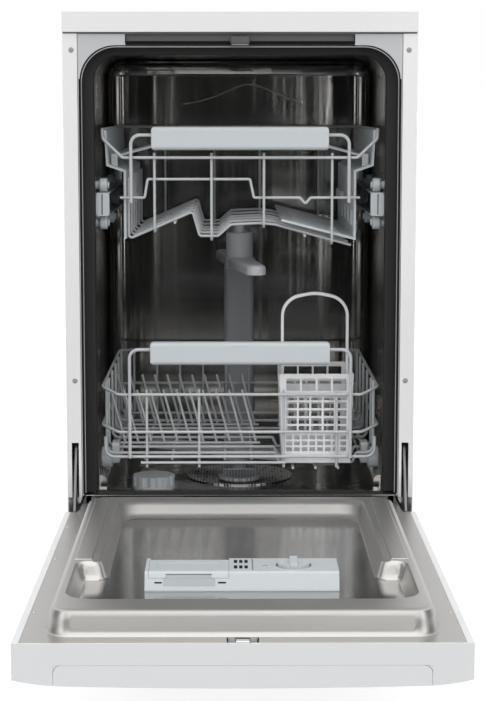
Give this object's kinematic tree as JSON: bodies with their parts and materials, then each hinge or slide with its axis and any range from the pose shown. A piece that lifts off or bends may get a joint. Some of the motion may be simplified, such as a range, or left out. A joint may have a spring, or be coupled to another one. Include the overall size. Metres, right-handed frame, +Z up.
{
  "type": "dishwasher",
  "caption": "Slimline free-standing dishwasher with its drop-down door open, sliding wire baskets on rails and wheels, spray arms, cutlery basket and detergent dispenser.",
  "frame": {"origin": "centre of the floor area that the machine covers with its door open, at floor level", "axes": "+Z up, +Y from the open door towards the back, +X to the right as seen from the front"},
  "size_m": [0.448, 1.193, 0.85],
  "materials": {
    "white_laminate": "satin white laminate",
    "white_enamel": "gloss white enamel",
    "galvanised": "zinc-coated sheet",
    "grey_paint": "satin grey paint",
    "base_plastic": "moulded, matt",
    "stainless": "satin stainless steel",
    "rubber": "matt black",
    "steel": "plain steel",
    "duct_plastic": "grey moulding",
    "pale_plastic": "pale blue-grey moulding",
    "coated_wire": "nylon-coated wire",
    "white_plastic": "satin white moulding",
    "grey_cap": "light grey moulding",
    "dark_plastic": "black moulding",
    "board_green": "solder mask"
  },
  "bodies": {
    "cabinet": {"worktop": "white_laminate", "side_panel_left": "white_enamel", "side_panel_right": "white_enamel", "back_panel": "galvanised", "base_tray": "base_plastic", "kick_plate": "white_enamel", "tub": "stainless", "front_frame": "grey_paint", "top_rail": "galvanised", "door_gasket": "rubber", "latch_strike": "grey_paint", "sump_and_softener": "duct_plastic", "filter_plate": "stainless", "pump_set": "dark_plastic", "inlet_valve": "white_plastic", "spray_duct": "duct_plastic", "hinge_brackets": "steel", "door_springs": "steel", "rail_supports": "pale_plastic", "rear_feet": "dark_plastic"},
    "door": {"door_outer_panel": "white_enamel", "door_liner": "stainless", "control_fascia": "white_plastic", "grip_insert": "white_plastic", "dispenser_body": "pale_plastic", "hinge_levers": "steel", "control_board": "board_green"},
    "upper_basket": {"upper_basket_frame": "coated_wire", "upper_handle": "pale_plastic", "upper_basket_sides": "pale_plastic", "upper_feed_tube": "duct_plastic", "upper_runners": "pale_plastic"},
    "lower_basket": {"lower_basket_frame": "coated_wire", "lower_handle": "pale_plastic", "wheel_clips": "pale_plastic", "cutlery_basket": "white_plastic"},
    "lower_spray_arm": {"lower_spray_arm": "duct_plastic"},
    "filter_cup": {"filter_cup": "duct_plastic"},
    "salt_cap": {"salt_cap": "grey_cap"},
    "front_foot_left": {"front_foot_left": "dark_plastic"},
    "front_foot_right": {"front_foot_right": "dark_plastic"},
    "roller_low_left": {"roller_low_left": "pale_plastic"},
    "roller_low_right": {"roller_low_right": "pale_plastic"},
    "roller_high_left": {"roller_high_left": "pale_plastic"},
    "roller_high_right": {"roller_high_right": "pale_plastic"},
    "rail_left": {"rail_left": "pale_plastic"},
    "rail_right": {"rail_right": "pale_plastic"},
    "upper_spray_arm": {"upper_spray_arm": "duct_plastic"},
    "cup_shelf_left": {"cup_shelf_left": "pale_plastic"},
    "cup_shelf_right": {"cup_shelf_right": "pale_plastic"},
    "wheel_front_left": {"wheel_front_left": "pale_plastic"},
    "wheel_front_right": {"wheel_front_right": "pale_plastic"},
    "wheel_rear_left": {"wheel_rear_left": "pale_plastic"},
    "wheel_rear_right": {"wheel_rear_right": "pale_plastic"},
    "detergent_lid": {"detergent_lid": "pale_plastic"},
    "rinse_aid_cap": {"rinse_aid_cap": "pale_plastic"},
    "latch_hook": {"latch_hook": "dark_plastic"},
    "programme_knob": {"programme_knob": "white_plastic"},
    "power_button": {"power_button": "white_plastic"},
    "start_button": {"start_button": "white_plastic"}
  },
  "joints": [
    {"name": "door_hinge", "type": "hinge", "parent": "cabinet", "child": "door", "pos_m": [0, 0.0215, 0.202], "axis": [-1, 0, 0], "range_deg": [0, 90], "deforming": ["door_springs"]},
    {"name": "upper_basket_slide", "type": "slide", "parent": "cabinet", "child": "upper_basket", "axis": [0, 1, 0], "range_m": [-0.4, 0]},
    {"name": "lower_basket_slide", "type": "slide", "parent": "cabinet", "child": "lower_basket", "axis": [0, 1, 0], "range_m": [-0.39, 0]},
    {"name": "rail_left_slide", "type": "slide", "parent": "cabinet", "child": "rail_left", "axis": [0, 1, 0], "range_m": [-0.2, 0]},
    {"name": "roller_low_left_spin", "type": "hinge", "parent": "cabinet", "child": "roller_low_left", "pos_m": [-0.178, 0.1035, 0.5795], "axis": [1, 0, 0], "continuous": true},
    {"name": "roller_high_left_spin", "type": "hinge", "parent": "cabinet", "child": "roller_high_left", "pos_m": [-0.178, 0.1035, 0.628], "axis": [1, 0, 0], "continuous": true},
    {"name": "wheel_front_left_spin", "type": "hinge", "parent": "lower_basket", "child": "wheel_front_left", "pos_m": [-0.179, 0.1375, 0.2613], "axis": [1, 0, 0], "continuous": true},
    {"name": "wheel_rear_left_spin", "type": "hinge", "parent": "lower_basket", "child": "wheel_rear_left", "pos_m": [-0.179, 0.4055, 0.2613], "axis": [1, 0, 0], "continuous": true},
    {"name": "cup_shelf_left_fold", "type": "hinge", "parent": "upper_basket", "child": "cup_shelf_left", "pos_m": [-0.165, 0.2855, 0.664], "axis": [0, -1, 0], "range_deg": [0, 70]},
    {"name": "front_foot_left_turn", "type": "hinge", "parent": "cabinet", "child": "front_foot_left", "pos_m": [-0.1928, 0.1495, 0.02], "axis": [0, 0, 1], "continuous": true},
    {"name": "rail_right_slide", "type": "slide", "parent": "cabinet", "child": "rail_right", "axis": [0, 1, 0], "range_m": [-0.2, 0]},
    {"name": "roller_low_right_spin", "type": "hinge", "parent": "cabinet", "child": "roller_low_right", "pos_m": [0.178, 0.1035, 0.5795], "axis": [1, 0, 0], "continuous": true},
    {"name": "roller_high_right_spin", "type": "hinge", "parent": "cabinet", "child": "roller_high_right", "pos_m": [0.178, 0.1035, 0.628], "axis": [1, 0, 0], "continuous": true},
    {"name": "wheel_front_right_spin", "type": "hinge", "parent": "lower_basket", "child": "wheel_front_right", "pos_m": [0.179, 0.1375, 0.2613], "axis": [1, 0, 0], "continuous": true},
    {"name": "wheel_rear_right_spin", "type": "hinge", "parent": "lower_basket", "child": "wheel_rear_right", "pos_m": [0.179, 0.4055, 0.2613], "axis": [1, 0, 0], "continuous": true},
    {"name": "cup_shelf_right_fold", "type": "hinge", "parent": "upper_basket", "child": "cup_shelf_right", "pos_m": [0.165, 0.2855, 0.664], "axis": [0, 1, 0], "range_deg": [0, 70]},
    {"name": "front_foot_right_turn", "type": "hinge", "parent": "cabinet", "child": "front_foot_right", "pos_m": [0.1928, 0.1495, 0.02], "axis": [0, 0, 1], "continuous": true},
    {"name": "upper_arm_spin", "type": "hinge", "parent": "upper_basket", "child": "upper_spray_arm", "pos_m": [0, 0.2965, 0.512], "axis": [0, 0, 1], "continuous": true},
    {"name": "lower_arm_spin", "type": "hinge", "parent": "cabinet", "child": "lower_spray_arm", "pos_m": [0, 0.2965, 0.24], "axis": [0, 0, 1], "continuous": true},
    {"name": "filter_cup_turn", "type": "hinge", "parent": "cabinet", "child": "filter_cup", "pos_m": [0, 0.2215, 0.2], "axis": [0, 0, 1], "range_deg": [-90, 0]},
    {"name": "salt_cap_turn", "type": "hinge", "parent": "cabinet", "child": "salt_cap", "pos_m": [-0.118, 0.1715, 0.22], "axis": [0, 0, 1], "continuous": true},
    {"name": "detergent_lid_flip", "type": "hinge", "parent": "door", "child": "detergent_lid", "pos_m": [-0.056, -0.3725, 0.242], "axis": [1, 0, 0], "range_deg": [-100, 0]},
    {"name": "rinse_aid_cap_turn", "type": "hinge", "parent": "door", "child": "rinse_aid_cap", "pos_m": [0.055, -0.3945, 0.243], "axis": [0, 0, 1], "range_deg": [-90, 0]},
    {"name": "latch_hook_tilt", "type": "hinge", "parent": "door", "child": "latch_hook", "pos_m": [0, -0.5805, 0.206], "axis": [1, 0, 0], "range_deg": [-17, 0], "stiffness_Nm_per_rad": 0.4},
    {"name": "programme_knob_turn", "type": "hinge", "parent": "door", "child": "programme_knob", "pos_m": [0.16, -0.5155, 0.17], "axis": [0, 0, 1], "continuous": true},
    {"name": "power_press", "type": "slide", "parent": "door", "child": "power_button", "axis": [0, 0, 1], "range_m": [0, 0.0025], "stiffness_N_per_m": 500},
    {"name": "start_press", "type": "slide", "parent": "door", "child": "start_button", "axis": [0, 0, 1], "range_m": [0, 0.0025], "stiffness_N_per_m": 500}
  ],
  "couplings": [
    {"joint": "rail_left_slide", "follows": "upper_basket_slide", "ratio": 0.5},
    {"joint": "roller_low_left_spin", "follows": "upper_basket_slide", "rad_per_m": -55.556},
    {"joint": "roller_high_left_spin", "follows": "upper_basket_slide", "rad_per_m": 55.556},
    {"joint": "wheel_front_left_spin", "follows": "lower_basket_slide", "rad_per_m": -71.429},
    {"joint": "wheel_rear_left_spin", "follows": "lower_basket_slide", "rad_per_m": -71.429},
    {"joint": "rail_right_slide", "follows": "upper_basket_slide", "ratio": 0.5},
    {"joint": "roller_low_right_spin", "follows": "upper_basket_slide", "rad_per_m": -55.556},
    {"joint": "roller_high_right_spin", "follows": "upper_basket_slide", "rad_per_m": 55.556},
    {"joint": "wheel_front_right_spin", "follows": "lower_basket_slide", "rad_per_m": -71.429},
    {"joint": "wheel_rear_right_spin", "follows": "lower_basket_slide", "rad_per_m": -71.429}
  ]
}
